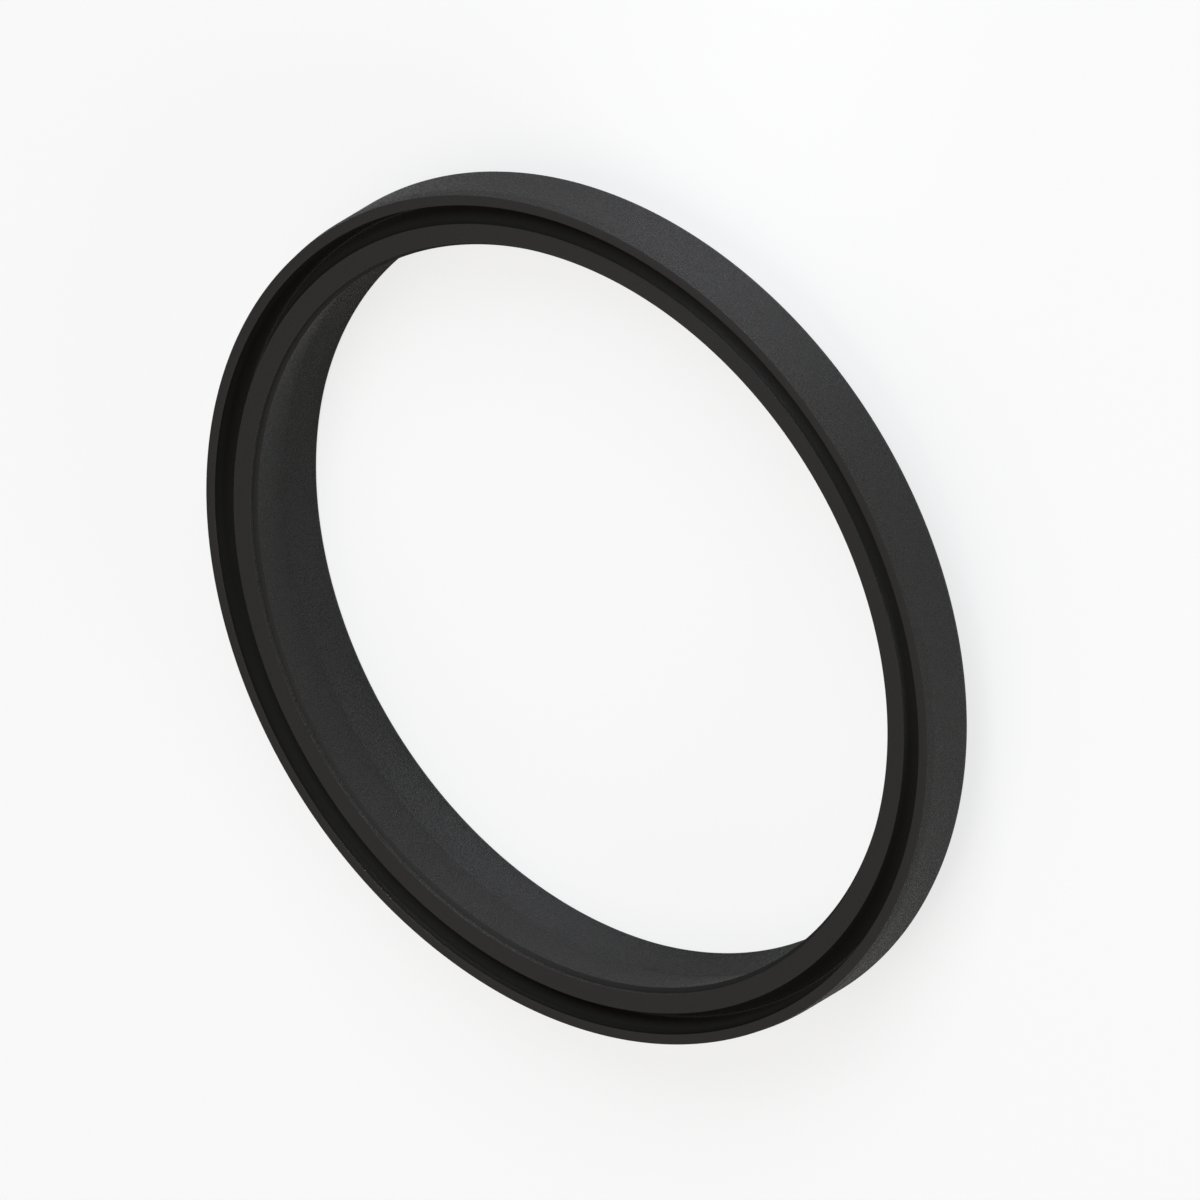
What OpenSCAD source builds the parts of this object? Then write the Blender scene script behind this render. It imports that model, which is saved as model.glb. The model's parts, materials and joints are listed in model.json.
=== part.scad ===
// Double-lip rod wiper ring, moulded in one piece for a rod and an open groove in its housing.
// All sizes are in millimetres. The ring lies flat with its grooved face up and its axis on Z:
// the wiping lip's tip is at z = 0 and the outer lip's rim is at z = overall_h.
// The section is drawn once, with its corners rounded by true arcs, and turned about the axis.

/* [Rod and housing] */
// Diameter of the rod that both inner lips run on
rod_d = 70; // [30:1:140]
// Radial depth of the housing groove, from the rod to the groove's floor
seat_depth = 5; // [4.8:0.05:5.4]
// How far each lip's edge stands inside the rod's surface before fitting
lip_squeeze = 0.125; // [0:0.025:0.3]

/* [Heel] */
// Height of the whole ring, from the wiping lip's tip to the outer lip's rim
overall_h = 9.52; // [8.6:0.02:11]
// Width of the heel that sits in the groove, from the rim to the back face
heel_w = 5.69; // [5.3:0.01:6]
// Length of the lead-in taper below the rim
lead_in_l = 0.88; // [0.4:0.02:1.4]
// How far the lead-in taper draws the rim in from the seat
lead_in_drop = 0.14; // [0.05:0.01:0.3]
// Height of the chamfer round the heel's back edge
back_chamfer_h = 0.36; // [0.1:0.02:0.6]
// How far that chamfer draws the back edge in from the seat
back_chamfer_drop = 0.15; // [0.05:0.01:0.3]

/* [Groove between the lips] */
// Width of the outer lip's flat rim
rim_w = 0.95; // [0.6:0.05:1.1]
// Depth of the V groove below the rim
groove_depth = 3.1; // [2:0.05:3.6]
// Slope of the groove's outer wall from the axis, in degrees
groove_lean = 10.4; // [5:0.2:14]
// Radius at the bottom of the groove
groove_r = 0.15; // [0.05:0.05:0.3]

/* [Sealing lip] */
// How far the sealing lip's flat face is set back from the rim
face_step = 0.28; // [0.1:0.02:0.5]
// Width of that face, from its inner edge to the groove
face_w = 1.82; // [1.5:0.01:2.1]
// Depth of the lip's sealing edge below the rim
edge_depth = 0.94; // [0.9:0.01:1.3]
// Depth of the notch between the face and the sealing edge, at its corner below the rim
notch_depth = 0.74; // [0.6:0.01:0.8]
// Slope of the cone from the sealing edge out to the notch's corner, in degrees from the axis
front_slope = 67.5; // [55:0.5:72]
// Slope of the notch's wall from the axis, in degrees; the face hangs over it
notch_lean = 15; // [0:1:25]
// Radius in the notch's corner
notch_r = 0.05; // [0.03:0.01:0.1]

/* [Bore between the lips] */
// Depth of the bore's widest circle below the rim
relief_depth = 5.89; // [5:0.05:6.4]
// How far the bore widens there behind the two lips' edges
relief_drop = 0.95; // [0.5:0.05:1.2]
// Radius that blends the two cones of the bore
relief_r = 0.2; // [0.1:0.1:1]

/* [Wiping lip] */
// Height of the wiping edge above the lip's tip
wipe_h = 0.35; // [0.2:0.05:0.6]
// How far the bevel under the wiping edge stands back at the tip
wipe_bevel = 0.21; // [0.1:0.01:0.3]
// Width of the flat end of the lip
tip_w = 0.46; // [0.3:0.02:0.7]
// Thickness of the lip where it leaves the heel
lip_root_w = 1.25; // [1:0.05:1.5]
// Radius in the corner between the lip and the heel's back face
root_r = 0.6; // [0.2:0.1:1]

/* [Hidden] */
ring_fn = 256;
arc_fn = 96;
rubber = [0.19, 0.185, 0.175];

// Radius of the circle on which both lips' edges lie
edge_r = rod_d / 2 - lip_squeeze;

// Corners of the section as [distance out from the lips' edges, height]
seat = seat_depth + lip_squeeze;
back_z = overall_h - heel_w;
face_z = overall_h - face_step;
tip_inner = [wipe_bevel, 0];
tip_outer = [wipe_bevel + tip_w, 0];
lip_root = [relief_drop + lip_root_w, back_z];
back_edge = [seat - back_chamfer_drop, back_z];
seat_end = [seat, back_z + back_chamfer_h];
seat_top = [seat, overall_h - lead_in_l];
rim_outer = [seat - lead_in_drop, overall_h];
rim_inner = [rim_outer.x - rim_w, overall_h];
groove_foot = [rim_inner.x - groove_depth * tan(groove_lean), overall_h - groove_depth];
sealing_edge = [0, overall_h - edge_depth];
notch = [(edge_depth - notch_depth) * tan(front_slope), overall_h - notch_depth];
face_edge = [notch.x - (notch_depth - face_step) * tan(notch_lean), face_z];
face_end = [face_edge.x + face_w, face_z];
relief = [relief_drop, overall_h - relief_depth];
wiping_edge = [0, wipe_h];

// What lies between a corner p and the arc that rounds it. The arc touches the sides that
// run from p to a and to b, with a, p and b anticlockwise round the arc's middle. The piece
// runs past both sides, and the arc bites into them, so that it joins the outline cleanly.
module corner(p, a, b, r) {
    over = 1.2;
    bite = 0.00003;
    to_a = (a - p) / norm(a - p);
    to_b = (b - p) / norm(b - p);
    half_angle = acos(to_a * to_b) / 2;
    from_middle = -(to_a + to_b) / norm(to_a + to_b) * r / sin(half_angle);
    reach = r / tan(half_angle);
    translate(p - from_middle) difference() {
        polygon(over * [
            [0, 0], from_middle + to_a * reach,
            from_middle, from_middle + to_b * reach
        ]);
        circle(r + bite, $fn = arc_fn);
    }
}

// Outline of the section with sharp corners: from the wiping lip's tip up the outside to
// the rim, through the groove, and down the bore over both lips' edges
module outline() {
    polygon([
        tip_inner, tip_outer, lip_root, back_edge,
        seat_end, seat_top, rim_outer, rim_inner,
        groove_foot, face_end, face_edge, notch,
        sealing_edge, relief, wiping_edge
    ]);
}

// The section, with its hollow corners filled to an arc. Both edges that run on the rod and
// the face's inner edge stay sharp.
module section() {
    union() {
        outline();
        corner(groove_foot, face_end, rim_inner, groove_r);
        corner(notch, sealing_edge, face_edge, notch_r);
        corner(relief, wiping_edge, sealing_edge, relief_r);
        corner(lip_root, back_edge, tip_outer, root_r);
    }
}

module wiper_ring() {
    color(rubber) rotate_extrude($fn = ring_fn) translate([edge_r, 0]) section();
}

wiper_ring();
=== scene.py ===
"""Looks of a double-lip rod wiper ring, moulded in one piece from black rubber.

The ring lies flat on a pale studio floor with its grooved face up, and the camera looks down on
it. Sizes are in metres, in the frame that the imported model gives.
"""

import json
import math

import bmesh
import bpy
from bpy.props import FloatProperty, FloatVectorProperty, IntProperty, PointerProperty
from bpy.types import Operator, Panel, PropertyGroup
from mathutils import Matrix, Vector


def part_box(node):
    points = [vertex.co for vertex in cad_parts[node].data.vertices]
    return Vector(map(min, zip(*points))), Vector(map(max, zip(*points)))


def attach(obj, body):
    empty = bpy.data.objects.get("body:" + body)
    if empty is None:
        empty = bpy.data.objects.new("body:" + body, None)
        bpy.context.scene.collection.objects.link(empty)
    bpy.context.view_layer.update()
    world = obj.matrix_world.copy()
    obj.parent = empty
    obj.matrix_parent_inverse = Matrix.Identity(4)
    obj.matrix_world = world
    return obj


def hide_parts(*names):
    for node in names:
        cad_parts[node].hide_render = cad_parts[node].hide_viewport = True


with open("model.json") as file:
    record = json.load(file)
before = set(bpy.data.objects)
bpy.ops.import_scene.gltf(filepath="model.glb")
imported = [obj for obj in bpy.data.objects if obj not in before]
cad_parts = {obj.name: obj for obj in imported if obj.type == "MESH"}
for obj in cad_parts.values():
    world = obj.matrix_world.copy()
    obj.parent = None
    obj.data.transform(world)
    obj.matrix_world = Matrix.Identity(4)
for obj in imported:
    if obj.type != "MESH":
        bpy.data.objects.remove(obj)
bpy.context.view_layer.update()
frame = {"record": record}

bl_info = {
    "name": "Rod Wiper Ring",
    "version": (1, 0, 0),
    "blender": (4, 5, 0),
    "location": "3D View > Sidebar > Wiper Ring",
    "description": "Models a double-lip rod wiper ring and sets it in a plain studio",
    "category": "Add Mesh",
}

MM = 0.001
RING_NODE = "wiper_ring"
RING_BODY = "root"

# Attributes of the ring's mesh that its material reads
GRAIN_SHARE = "grain_share"
# The tone attribute is painted light and shade that scales the rubber's colour: darker at the
# groove's mouth and on the cone, lighter at the groove's foot and in the notch
PAINTED_LIGHT_AND_SHADE = "tone"
MATTNESS = "mattness"

# An arc has at least this many steps, points nearer than the merging distance are one point,
# and edges flatter than the smoothing angle are shaded smooth
LEAST_ARC_STEPS = 3
MERGING_DISTANCE = 0.0002 * MM
SMOOTHING_ANGLE = math.radians(40)

# A face whose normal has at least this much of Z in it counts as level
LEVEL_NORMAL = 0.6

# Most of a noise's values lie in the first range, and the grain's are spread over the second
NOISE_RANGE = (0.3, 0.7)
GRAIN_RANGE = (-0.5, 0.5)
GRAIN_DETAIL = 1.0
BLOOM_DETAIL = 5.0

WHITE = (1.0, 1.0, 1.0, 1.0)
FLOOR_SIDES = 128
NEAREST_SEEN = 0.01
FARTHEST_SEEN = 10.0

MOUNTS = {mount["name"]: mount for mount in frame["record"]["mounts"]}
RING_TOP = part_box(RING_NODE)[1].z
SEAT_MIDDLE = MOUNTS["housing_seat"]["pos_m"][2]
SEAT_LENGTH = MOUNTS["housing_seat"]["dims"]["length_mm"] * MM


def length(name, description, default):
    """A size in metres that a user may change."""
    return FloatProperty(
        name=name, description=description, default=default, min=0.0,
        precision=5, unit="LENGTH",
    )


def angle(name, description, degrees, least, most):
    """An angle that a user may change, given here in degrees."""
    return FloatProperty(
        name=name, description=description, default=math.radians(degrees),
        min=math.radians(least), max=math.radians(most), subtype="ANGLE",
    )


def colour(name, description, default):
    """A linear colour that a user may change."""
    return FloatVectorProperty(
        name=name, description=description, default=default, size=3,
        min=0.0, max=1.0, subtype="COLOR",
    )


def share(name, description, default):
    """A number from 0 to 1 that a user may change."""
    return FloatProperty(
        name=name, description=description, default=default, min=0.0, max=1.0,
        subtype="FACTOR",
    )


def factor(name, description, default, least, most):
    """A number that may pass 1 and that a user may change."""
    return FloatProperty(
        name=name, description=description, default=default, min=least, max=most)


def power(name, description, default):
    """A lamp's power in watts."""
    return FloatProperty(
        name=name, description=description, default=default, min=0.0, max=100.0,
        precision=4, unit="POWER",
    )


def direction(name, description, azimuth, elevation):
    """Where a thing stands as seen from the ring: its angle from +X towards +Y, and its angle
    above the floor, both given here in degrees."""
    return FloatVectorProperty(
        name=name, description=description, size=2, unit="ROTATION",
        default=(math.radians(azimuth), math.radians(elevation)),
    )


class RingSizes(PropertyGroup):
    """Driving sizes of the ring's section. Those that mate with the rod and the housing come
    from the frame."""

    seat_radius: length(
        "Seat radius", "Radius of the band that sits in the housing",
        MOUNTS["housing_seat"]["dims"]["r_mm"] * MM)
    lip_radius: length(
        "Lip radius", "Radius of the circle on which both lips' edges lie",
        MOUNTS["sealing_lip"]["dims"]["r_mm"] * MM)
    height: length("Height", "Height from the wiping lip's tip to the rim", RING_TOP)
    heel_back: length(
        "Heel back", "Height of the heel's back face", MOUNTS["heel_back"]["pos_m"][2])
    seat_bottom: length(
        "Seat bottom", "Height at which the seat begins", SEAT_MIDDLE - SEAT_LENGTH / 2)
    seat_top: length("Seat top", "Height at which the seat ends", SEAT_MIDDLE + SEAT_LENGTH / 2)
    sealing_height: length(
        "Sealing edge", "Height of the sealing lip's edge", MOUNTS["sealing_lip"]["pos_m"][2])
    wiping_height: length(
        "Wiping edge", "Height of the wiping lip's edge", MOUNTS["wiping_lip"]["pos_m"][2])
    back_chamfer: length("Back chamfer", "How far the back edge is drawn in", 0.15 * MM)
    lead_in: length("Lead-in", "How far the lead-in taper draws the rim in", 0.14 * MM)
    rim_width: length("Rim width", "Width of the outer lip's flat rim", 0.95 * MM)
    groove_depth: length("Groove depth", "Depth of the V groove below the rim", 3.1 * MM)
    groove_lean: angle(
        "Groove lean", "Slope of the groove's outer wall from the axis", 10.4, 0, 30)
    groove_radius: length("Groove radius", "Radius at the bottom of the groove", 0.15 * MM)
    face_step: length("Face step", "How far the sealing lip's face lies below the rim", 0.28 * MM)
    face_width: length("Face width", "Width of that face from its edge to the groove", 1.82 * MM)
    notch_depth: length("Notch depth", "Depth of the notch's corner below the rim", 0.74 * MM)
    notch_lean: angle(
        "Notch lean", "Slope of the notch's wall, over which the face hangs", 15, 0, 30)
    notch_radius: length("Notch radius", "Radius in the notch's corner", 0.05 * MM)
    front_slope: angle(
        "Front slope", "Slope from the axis of the cone below the notch", 67.5, 45, 80)
    relief_depth: length(
        "Relief depth", "Depth of the bore's widest circle below the rim", 5.89 * MM)
    relief_drop: length("Relief drop", "How far the bore widens behind the lips", 0.95 * MM)
    relief_radius: length("Relief radius", "Radius between the bore's two cones", 0.1 * MM)
    wipe_bevel: length("Wipe bevel", "How far the tip stands back from its edge", 0.21 * MM)
    tip_width: length("Tip width", "Width of the wiping lip's flat end", 0.46 * MM)
    root_width: length("Root width", "Thickness of the wiping lip at the heel", 1.25 * MM)
    root_radius: length("Root radius", "Radius between the lip and the heel's back", 0.6 * MM)
    moulded_edge: length("Moulded edge", "Radius of the edges left by the mould", 0.04 * MM)
    lip_edge: length("Lip edge", "Radius of the two edges that run on the rod", 0.02 * MM)
    arc_step: angle("Arc step", "Angle between the points of a rounded corner", 12, 2, 45)
    turns: IntProperty(
        name="Steps round", description="Steps in which the section is turned about the axis",
        default=640, min=32, max=1024)


class RubberLook(PropertyGroup):
    """Finish of the moulded rubber, with painted shade and painted light in the groove, on the
    cone and in the notch.
    """

    base: colour("Rubber", "Colour of the rubber", (0.0164, 0.0153, 0.0139))
    bloom: colour(
        "Bloom", "Colour of the rubber where its faint bloom lies", (0.0184, 0.0174, 0.0160))
    bloom_size: length("Bloom size", "Width of one patch of the bloom", 7 * MM)
    roughness: share("Roughness", "Roughness of the rubber", 0.6)
    roughness_spread: share("Roughness spread", "How much the grain changes the roughness", 0.2)
    ior: factor("IOR", "Index of refraction of the rubber", 1.33, 1.0, 2.0)
    grain_size: length("Grain size", "Width of one bump of the mould's grain", 0.15 * MM)
    grain_height: length("Grain height", "Height of the grain", 0.08 * MM)
    grain_tone: factor(
        "Grain tone", "How much more of the bloom lies on the grain's tops", 7.0, 0.0, 20.0)
    smooth_grain: share(
        "Smooth grain", "Share of the grain on the flat faces and in the groove", 0.1)
    # Painted shade at the groove's mouth and painted light at its foot scale the rubber's colour
    # in place of the light and shade that fall in the groove
    mouth_painted_shade: share("Mouth painted shade", "Share of the rubber's tone at the groove's mouth", 0.38)
    foot_painted_light: factor(
        "Foot painted light", "Tone at the groove's foot, as painted light", 2.8, 0.0, 6.0)
    groove_mattness: share(
        "Groove mattness", "Share of the rubber's roughness on the groove's walls", 0.5)
    # Painted shade on the cone above the sealing edge and painted light in the notch, scaling the
    # rubber's colour
    cone_painted_shade: share("Cone painted shade", "Share of the rubber's tone on the trimmed cone", 0.73)
    notch_painted_light: factor(
        "Notch painted light", "Tone in the notch, as painted light on its shaded wall", 1.55, 0.0, 4.0)


class StudioSizes(PropertyGroup):
    """Floor, lamps, world and camera."""

    floor_radius: length("Floor radius", "Radius of the round floor", 1.5)
    floor: colour("Floor", "Colour of the floor", (0.93, 0.93, 0.93))
    floor_white: share(
        "Floor white", "Share of plain white that the camera sees on the floor", 0.75)
    world: factor("World", "Strength of the soft light from all round", 0.05, 0.0, 2.0)
    backdrop: share("Backdrop", "Share of plain white that the camera sees past the floor", 0.95)
    key_from: direction("Key direction", "Where the large lamp beside the ring stands", 74, 35)
    key_size: length("Key size", "Width of the large lamp", 1.2)
    key_distance: length("Key distance", "Distance of the large lamp", 2.0)
    key_power: power("Key power", "Power of the large lamp", 31.5)
    key_tint: colour("Key tint", "Colour of the large lamp", (0.865, 0.932, 1.0))
    top_from: direction("Top direction", "Where the lamp above the ring hangs", 0, 90)
    top_size: length("Top size", "Width of the lamp above the ring", 1.6)
    top_distance: length("Top distance", "Height of the lamp above the ring", 2.0)
    top_power: power("Top power", "Power of the lamp above the ring", 13.4)
    top_tint: colour("Top tint", "Colour of the lamp above the ring", (1.0, 0.905, 0.812))
    side_from: direction("Side direction", "Where the low lamp to the right stands", -10, 12)
    side_size: length("Side size", "Width of the lamp to the right", 1.0)
    side_distance: length("Side distance", "Distance of the lamp to the right", 2.0)
    side_power: power("Side power", "Power of the lamp to the right", 18.5)
    side_tint: colour("Side tint", "Colour of the lamp to the right", (0.92, 0.98, 1.0))
    back_from: direction("Back direction", "Where the weak lamp facing the camera stands", 220, 48)
    back_size: length("Back size", "Width of the lamp facing the camera", 1.4)
    back_distance: length("Back distance", "Distance of the lamp facing the camera", 2.0)
    back_power: power("Back power", "Power of the lamp facing the camera", 4.5)
    back_tint: colour("Back tint", "Colour of the lamp facing the camera", (0.98, 0.9, 1.0))
    fill_from: direction("Fill direction", "Where the weak lamp across the key stands", 265, 30)
    fill_size: length("Fill size", "Width of the lamp across the key", 1.2)
    fill_distance: length("Fill distance", "Distance of the lamp across the key", 2.0)
    fill_power: power("Fill power", "Power of the lamp across the key", 3.0)
    fill_tint: colour("Fill tint", "Colour of the lamp across the key", (1.0, 0.945, 0.905))
    beam_from: direction("Beam direction", "Where the small low lamp below the key stands", 74, 8)
    beam_size: length("Beam size", "Width of the small lamp", 0.03)
    beam_distance: length("Beam distance", "Distance of the small lamp", 0.6)
    beam_power: power("Beam power", "Power of the small lamp", 0.0038)
    beam_tint: colour("Beam tint", "Colour of the small lamp", (0.84, 0.87, 1.0))
    beam_spread: angle(
        "Beam spread", "Angle to which the small lamp's light is held", 4.5, 1, 180)
    camera_from: direction("Camera direction", "Where the camera stands", 40.49, 44.4)
    camera_roll: angle(
        "Camera roll", "Turn of the camera about its line of sight", -120.85, -180, 180)
    camera_distance: length("Camera distance", "Distance of the camera from the ring", 0.6)
    view_width: length("View width", "Width of what the camera sees", 104.79 * MM)
    aim_right: length("Aim right", "How far the view's middle lies right of the rim's", 2.917 * MM)
    aim_up: length("Aim up", "How far the view's middle lies above the rim's", 1.744 * MM)


def section_corners(sizes):
    """Corners of the section as (distance from the axis, height, radius), anticlockwise from
    the wiping lip's tip."""
    lip = sizes.lip_radius
    seat = sizes.seat_radius
    top = sizes.height
    back = sizes.heel_back
    face = top - sizes.face_step
    relief = lip + sizes.relief_drop
    notch_height = top - sizes.notch_depth
    notch = lip + (notch_height - sizes.sealing_height) * math.tan(sizes.front_slope)
    face_edge = notch - (face - notch_height) * math.tan(sizes.notch_lean)
    rim_outer = seat - sizes.lead_in
    rim_inner = rim_outer - sizes.rim_width
    groove_foot = rim_inner - sizes.groove_depth * math.tan(sizes.groove_lean)
    tip = lip + sizes.wipe_bevel
    moulded = sizes.moulded_edge
    return [
        (tip, 0.0, sizes.lip_edge),
        (tip + sizes.tip_width, 0.0, moulded),
        (relief + sizes.root_width, back, sizes.root_radius),
        (seat - sizes.back_chamfer, back, moulded),
        (seat, sizes.seat_bottom, moulded),
        (seat, sizes.seat_top, moulded),
        (rim_outer, top, moulded),
        (rim_inner, top, moulded),
        (groove_foot, top - sizes.groove_depth, sizes.groove_radius),
        (face_edge + sizes.face_width, face, moulded),
        (face_edge, face, sizes.lip_edge),
        (notch, notch_height, sizes.notch_radius),
        (lip, sizes.sealing_height, sizes.lip_edge),
        (relief, top - sizes.relief_depth, sizes.relief_radius),
        (lip, sizes.wiping_height, sizes.lip_edge),
    ]


def corner_arc(before, corner, after):
    """Where the arc that rounds a corner starts, its middle, and the angle it turns through,
    which is positive to the left. The start and the middle are points in the XZ plane."""
    here = Vector((corner[0], corner[1]))
    inward = (here - Vector(before[:2])).normalized()
    onward = (Vector(after[:2]) - here).normalized()
    turn = math.atan2(inward.x * onward.y - inward.y * onward.x, inward.dot(onward))
    start = here - inward * corner[2] * math.tan(abs(turn) / 2)
    side = Vector((-inward.y, inward.x)) * math.copysign(corner[2], turn)
    return in_section(start), in_section(start + side), turn


def in_section(point):
    """A point of the section's plane as a point in space."""
    return Vector((point.x, 0.0, point.y))


def start_point(name, place):
    """A new mesh of a single selected vertex, left in edit mode."""
    bpy.ops.object.select_all(action="DESELECT")
    bpy.ops.mesh.primitive_plane_add(size=MM, location=(0, 0, 0))
    piece = bpy.context.active_object
    piece.name = name
    piece.data.name = name
    bpy.ops.object.mode_set(mode="EDIT")
    bpy.ops.mesh.select_all(action="SELECT")
    bpy.ops.mesh.merge(type="CENTER")
    bpy.ops.transform.translate(value=place)
    return piece


def selected_point(piece):
    """Place of the one selected vertex."""
    mesh = bmesh.from_edit_mesh(piece.data)
    return next(v.co.copy() for v in mesh.verts if v.select)


def draw_section(piece, corners, arc_step):
    """Draws the section from corner to corner, each with a true arc, and closes it."""
    count = len(corners)
    for i, corner in enumerate(corners):
        start, middle, turn = corner_arc(corners[i - 1], corner, corners[(i + 1) % count])
        if i > 0:
            step = start - selected_point(piece)
            bpy.ops.mesh.extrude_region_move(TRANSFORM_OT_translate={"value": step})
        bpy.ops.mesh.spin(
            steps=max(LEAST_ARC_STEPS, math.ceil(abs(turn) / arc_step)), angle=abs(turn),
            center=middle, axis=(0, math.copysign(1, turn), 0), use_auto_merge=False,
        )
    mesh = bmesh.from_edit_mesh(piece.data)
    mesh.edges.new([v for v in mesh.verts if len(v.link_edges) == 1])
    bmesh.update_edit_mesh(piece.data)


def apply_modifier(kind, **settings):
    """Adds a modifier to the active object, sets it up and applies it."""
    bpy.ops.object.modifier_add(type=kind)
    modifier = bpy.context.object.modifiers[-1]
    for name, value in settings.items():
        setattr(modifier, name, value)
    bpy.ops.object.modifier_apply(modifier=modifier.name)


def add_ring(sizes):
    """Draws the section, turns it about the axis and smooths what the mould left smooth."""
    corners = section_corners(sizes)
    place, _, _ = corner_arc(corners[-1], corners[0], corners[1])
    piece = start_point("wiper_ring_rubber", place)
    draw_section(piece, corners, sizes.arc_step)
    bpy.ops.object.mode_set(mode="OBJECT")
    apply_modifier("SCREW", steps=sizes.turns, render_steps=sizes.turns, use_merge_vertices=True)
    bpy.ops.object.mode_set(mode="EDIT")
    bpy.ops.mesh.select_all(action="SELECT")
    bpy.ops.mesh.remove_doubles(threshold=MERGING_DISTANCE)
    bpy.ops.mesh.normals_make_consistent(inside=False)
    bpy.ops.object.mode_set(mode="OBJECT")
    bpy.ops.object.shade_smooth_by_angle(angle=SMOOTHING_ANGLE)
    apply_modifier("WEIGHTED_NORMAL", keep_sharp=True)
    return piece


def wall_painted_shade_and_light(sizes, look, height):
    """Painted shade and light on the groove's walls at a height, from painted shade at their mouth
    to painted light at their foot.
    """
    depth = (sizes.height - height) / sizes.groove_depth
    return look.mouth_painted_shade + (look.foot_painted_light - look.mouth_painted_shade) * depth


def mark_finish_and_painted_light(piece, sizes, look):
    """Keeps on the mesh how the finish differs from place to place. The flat faces and the
    groove show only a share of the mould's grain. The groove's walls get painted shade at their
    mouth and painted light at their foot, and are less matt. The trimmed cone above the sealing
    edge gets painted shade, and the notch gets painted light."""
    mesh = piece.data
    groove_from = sizes.lip_radius + sizes.face_width
    groove_to = sizes.seat_radius - sizes.rim_width
    lip_to = sizes.lip_radius + sizes.face_width / 2
    notch_height = sizes.height - sizes.notch_depth
    grain, mattness, tone = [], [], []
    for face in mesh.polygons:
        distance, height = face.center.xy.length, face.center.z
        level = abs(face.normal.z) > LEVEL_NORMAL
        in_groove = groove_from < distance < groove_to and height > sizes.heel_back
        on_wall = in_groove and not level
        grain.append(look.smooth_grain if level or in_groove else 1.0)
        mattness.append(look.groove_mattness if on_wall else 1.0)
        if on_wall:
            # The groove's walls get painted shade near the mouth and painted light near the foot
            tone += [wall_painted_shade_and_light(sizes, look, mesh.vertices[i].co.z) for i in face.vertices]
        else:
            painted_tone = 1.0
            # The cone above the sealing edge gets painted shade, and the notch gets painted light
            if distance < lip_to and height > sizes.sealing_height:
                painted_tone = look.notch_painted_light if height > notch_height else look.cone_painted_shade
            tone += [painted_tone] * len(face.vertices)
    for name, domain, values in (
        (GRAIN_SHARE, "FACE", grain), (MATTNESS, "FACE", mattness), (PAINTED_LIGHT_AND_SHADE, "CORNER", tone),
    ):
        mesh.attributes.new(name, "FLOAT", domain).data.foreach_set("value", values)


def empty_tree(owner):
    """The cleared node tree of a material or a world."""
    owner.use_nodes = True
    owner.node_tree.nodes.clear()
    return owner.node_tree


def add_node(tree, kind, **values):
    """A shader node with its inputs and settings given by name."""
    node = tree.nodes.new(kind)
    for name, value in values.items():
        if name in node.inputs:
            node.inputs[name].default_value = value
        else:
            setattr(node, name, value)
    return node


def map_range(tree, given, wanted):
    """A node that turns one range of values into another."""
    node = add_node(tree, "ShaderNodeMapRange")
    for name, value in zip(("From Min", "From Max", "To Min", "To Max"), (*given, *wanted)):
        node.inputs[name].default_value = value
    return node


def rubber_material(look):
    """Black moulded rubber. The mould's fine grain varies its tone, its roughness and its bump,
    and a bloom too faint to see as patches varies its tone. How much grain a place shows, how
    much painted light and painted shade its colour carries and how matt it is come from the mesh's
    attributes."""
    material = bpy.data.materials.new("black_rubber")
    tree = empty_tree(material)
    link = tree.links.new
    output = add_node(tree, "ShaderNodeOutputMaterial")
    rubber = add_node(tree, "ShaderNodeBsdfPrincipled", IOR=look.ior)
    place = add_node(tree, "ShaderNodeTexCoord")
    grain = add_node(tree, "ShaderNodeTexNoise", Scale=1 / look.grain_size, Detail=GRAIN_DETAIL)
    patches = add_node(tree, "ShaderNodeTexNoise", Scale=1 / look.bloom_size, Detail=BLOOM_DETAIL)
    cover = add_node(tree, "ShaderNodeAttribute", attribute_name=GRAIN_SHARE)
    centred = map_range(tree, NOISE_RANGE, GRAIN_RANGE)
    height = add_node(tree, "ShaderNodeMath", operation="MULTIPLY")
    lift = add_node(tree, "ShaderNodeMath", operation="MULTIPLY_ADD")
    lift.inputs[1].default_value = look.grain_tone
    tone = add_node(tree, "ShaderNodeMix", data_type="RGBA", clamp_factor=False)
    dark, light = (slot for slot in tone.inputs if slot.type == "RGBA")
    dark.default_value = (*look.base, 1.0)
    light.default_value = (*look.bloom, 1.0)
    gloss = map_range(tree, GRAIN_RANGE, (
        look.roughness - look.roughness_spread, look.roughness + look.roughness_spread))
    bump = add_node(tree, "ShaderNodeBump", Distance=look.grain_height)
    # This attribute carries painted light and shade, and the rubber's colour is scaled by it
    shade = add_node(tree, "ShaderNodeAttribute", attribute_name=PAINTED_LIGHT_AND_SHADE)
    matt = add_node(tree, "ShaderNodeAttribute", attribute_name=MATTNESS)
    shaded = add_node(tree, "ShaderNodeVectorMath", operation="SCALE")
    roughness = add_node(tree, "ShaderNodeMath", operation="MULTIPLY")
    link(place.outputs["Object"], grain.inputs["Vector"])
    link(place.outputs["Object"], patches.inputs["Vector"])
    link(grain.outputs["Fac"], centred.inputs["Value"])
    link(centred.outputs["Result"], height.inputs[0])
    link(cover.outputs["Fac"], height.inputs[1])
    link(height.outputs[0], bump.inputs["Height"])
    link(height.outputs[0], lift.inputs[0])
    link(patches.outputs["Fac"], lift.inputs[2])
    link(lift.outputs[0], tone.inputs["Factor"])
    link(tone.outputs["Result"], shaded.inputs[0])
    link(shade.outputs["Fac"], shaded.inputs["Scale"])
    link(shaded.outputs["Vector"], rubber.inputs["Base Color"])
    link(height.outputs[0], gloss.inputs["Value"])
    link(gloss.outputs["Result"], roughness.inputs[0])
    link(matt.outputs["Fac"], roughness.inputs[1])
    link(roughness.outputs[0], rubber.inputs["Roughness"])
    link(bump.outputs["Normal"], rubber.inputs["Normal"])
    link(rubber.outputs["BSDF"], output.inputs["Surface"])
    return material


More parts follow.
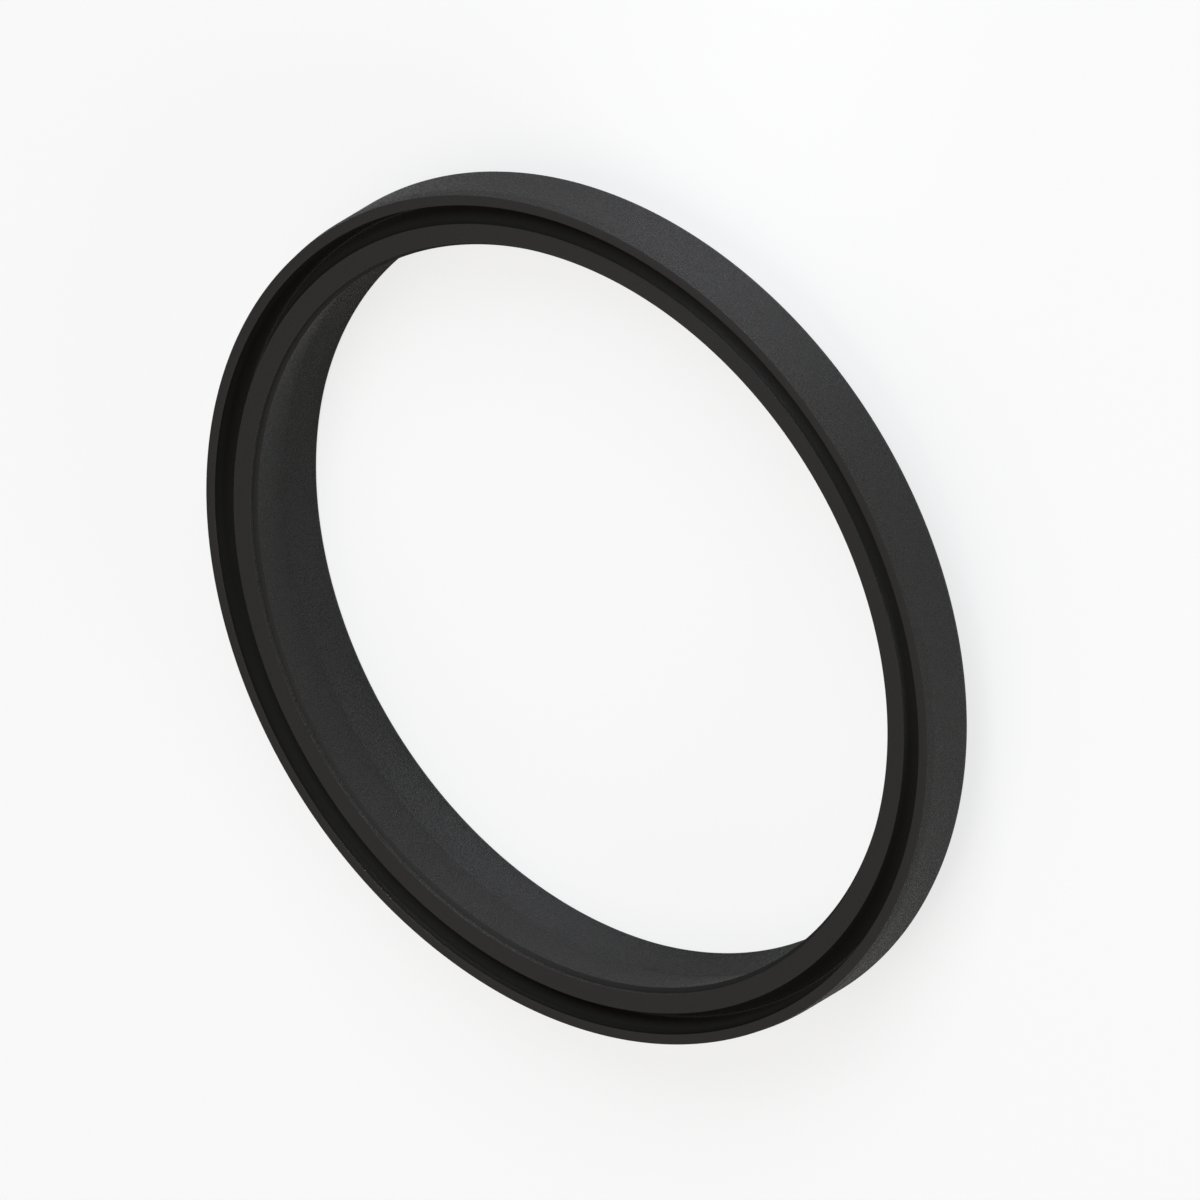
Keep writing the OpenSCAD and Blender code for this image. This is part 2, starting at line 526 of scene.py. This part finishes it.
def floor_material(studio):
    """Pale and matt, near white to the camera but for the ring's shadow, and clear from below."""
    material = bpy.data.materials.new("pale_floor")
    tree = empty_tree(material)
    link = tree.links.new
    output = add_node(tree, "ShaderNodeOutputMaterial")
    matt = add_node(tree, "ShaderNodeBsdfDiffuse", Color=(*studio.floor, 1.0))
    white = add_node(tree, "ShaderNodeEmission", Color=WHITE, Strength=1.0)
    clear = add_node(tree, "ShaderNodeBsdfTransparent")
    path = add_node(tree, "ShaderNodeLightPath")
    whiteness = add_node(tree, "ShaderNodeMath", operation="MULTIPLY")
    whiteness.inputs[1].default_value = studio.floor_white
    side = add_node(tree, "ShaderNodeNewGeometry")
    seen = add_node(tree, "ShaderNodeMixShader")
    through = add_node(tree, "ShaderNodeMixShader")
    link(path.outputs["Is Camera Ray"], whiteness.inputs[0])
    link(whiteness.outputs[0], seen.inputs["Fac"])
    link(matt.outputs[0], seen.inputs[1])
    link(white.outputs[0], seen.inputs[2])
    link(side.outputs["Backfacing"], through.inputs["Fac"])
    link(seen.outputs[0], through.inputs[1])
    link(clear.outputs[0], through.inputs[2])
    link(through.outputs[0], output.inputs["Surface"])
    return material


def add_floor(studio):
    """A plain round floor under the ring."""
    bpy.ops.object.select_all(action="DESELECT")
    bpy.ops.mesh.primitive_circle_add(
        vertices=FLOOR_SIDES, radius=studio.floor_radius, fill_type="NGON", location=(0, 0, 0))
    floor = bpy.context.active_object
    floor.name = "studio_floor"
    floor.data.materials.append(floor_material(studio))
    return floor


def from_ring(way, distance):
    """The point at a distance from the ring's middle in a direction of azimuth and elevation."""
    azimuth, elevation = way
    flat = math.cos(elevation)
    return distance * Vector((
        math.cos(azimuth) * flat, math.sin(azimuth) * flat, math.sin(elevation)))


def add_lamp(name, place, size, watts, tint):
    """A square soft lamp that points at the ring and isn't seen itself."""
    bpy.ops.object.select_all(action="DESELECT")
    bpy.ops.object.light_add(type="AREA", location=place)
    lamp = bpy.context.active_object
    lamp.name = name
    lamp.rotation_euler = (-place).to_track_quat("-Z", "Y").to_euler()
    lamp.data.shape = "SQUARE"
    lamp.data.size = size
    lamp.data.energy = watts
    lamp.data.color = tint
    lamp.visible_camera = False
    return lamp


def add_lamps(studio):
    """The large key lamp, one lamp above, three weaker ones that open the shadows, and a small
    low one whose soft beam crosses the ring and picks out the seat and the bore."""
    lamps = {}
    for name in ("key", "top", "side", "back", "fill", "beam"):
        way, distance, size, watts, tint = (
            getattr(studio, name + part)
            for part in ("_from", "_distance", "_size", "_power", "_tint"))
        lamps[name] = add_lamp(name + "_lamp", from_ring(way, distance), size, watts, tint)
    lamps["beam"].data.spread = studio.beam_spread


def add_world(studio):
    """Even soft light from all round, with a backdrop as pale as the floor behind everything."""
    world = bpy.data.worlds.new("soft_room")
    bpy.context.scene.world = world
    tree = empty_tree(world)
    output = add_node(tree, "ShaderNodeOutputWorld")
    light = add_node(tree, "ShaderNodeBackground", Color=WHITE, Strength=studio.world)
    pale = add_node(tree, "ShaderNodeBackground", Color=WHITE, Strength=studio.backdrop)
    path = add_node(tree, "ShaderNodeLightPath")
    seen = add_node(tree, "ShaderNodeMixShader")
    tree.links.new(path.outputs["Is Camera Ray"], seen.inputs["Fac"])
    tree.links.new(light.outputs[0], seen.inputs[1])
    tree.links.new(pale.outputs[0], seen.inputs[2])
    tree.links.new(seen.outputs[0], output.inputs["Surface"])


def add_camera(studio, rim_height):
    """A camera without perspective, above the ring, turned so that the ring lies in the picture
    as it does when it is seen standing on its edge."""
    back = from_ring(studio.camera_from, 1.0)
    level = (-back).to_track_quat("-Z", "Y").to_matrix()
    turned = level @ Matrix.Rotation(studio.camera_roll, 3, "Z")
    right, up = turned.col[0], turned.col[1]
    aim = Vector((0, 0, rim_height)) + right * studio.aim_right + up * studio.aim_up
    bpy.ops.object.camera_add(
        location=aim + back * studio.camera_distance, rotation=turned.to_euler())
    camera = bpy.context.active_object
    camera.data.type = "ORTHO"
    camera.data.ortho_scale = studio.view_width
    camera.data.clip_start = NEAREST_SEEN
    camera.data.clip_end = FARTHEST_SEEN
    bpy.context.scene.camera = camera


class WIPER_OT_ring(Operator):
    """Model the rubber ring and give it its finish"""

    bl_idname = "wiper.ring"
    bl_label = "Rubber Ring"

    def execute(self, context):
        sizes, look = context.scene.wiper_sizes, context.scene.wiper_look
        piece = add_ring(sizes)
        mark_finish_and_painted_light(piece, sizes, look)
        piece.data.materials.append(rubber_material(look))
        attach(piece, RING_BODY)
        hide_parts(RING_NODE)
        return {"FINISHED"}


class WIPER_OT_stage(Operator):
    """Set the floor, the lamps, the world and the camera"""

    bl_idname = "wiper.stage"
    bl_label = "Studio"

    def execute(self, context):
        studio = context.scene.wiper_studio
        add_floor(studio)
        add_lamps(studio)
        add_world(studio)
        add_camera(studio, context.scene.wiper_sizes.height)
        context.scene.view_settings.view_transform = "Standard"
        return {"FINISHED"}


class WIPER_PT_panel(Panel):
    """Lists the ring and the studio in the sidebar"""

    bl_idname = "WIPER_PT_panel"
    bl_label = "Wiper Ring"
    bl_space_type = "VIEW_3D"
    bl_region_type = "UI"
    bl_category = "Wiper Ring"

    def draw(self, context):
        scene = context.scene
        for operator, groups in (
            (WIPER_OT_ring, (scene.wiper_sizes, scene.wiper_look)),
            (WIPER_OT_stage, (scene.wiper_studio,)),
        ):
            column = self.layout.column(align=True)
            column.operator(operator.bl_idname)
            for group in groups:
                for name in group.bl_rna.properties.keys():
                    if name not in ("rna_type", "name"):
                        column.prop(group, name)


CLASSES = (
    RingSizes, RubberLook, StudioSizes, WIPER_OT_ring, WIPER_OT_stage, WIPER_PT_panel,
)


def register():
    """Registers the classes and hangs the groups of sizes on the scene."""
    for item in CLASSES:
        bpy.utils.register_class(item)
    bpy.types.Scene.wiper_sizes = PointerProperty(type=RingSizes)
    bpy.types.Scene.wiper_look = PointerProperty(type=RubberLook)
    bpy.types.Scene.wiper_studio = PointerProperty(type=StudioSizes)


def unregister():
    """Takes away what register added."""
    del bpy.types.Scene.wiper_studio
    del bpy.types.Scene.wiper_look
    del bpy.types.Scene.wiper_sizes
    for item in reversed(CLASSES):
        bpy.utils.unregister_class(item)


def main():
    """Registers the add-on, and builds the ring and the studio."""
    register()
    bpy.ops.wiper.ring()
    bpy.ops.wiper.stage()


if __name__ == "__main__":
    main()
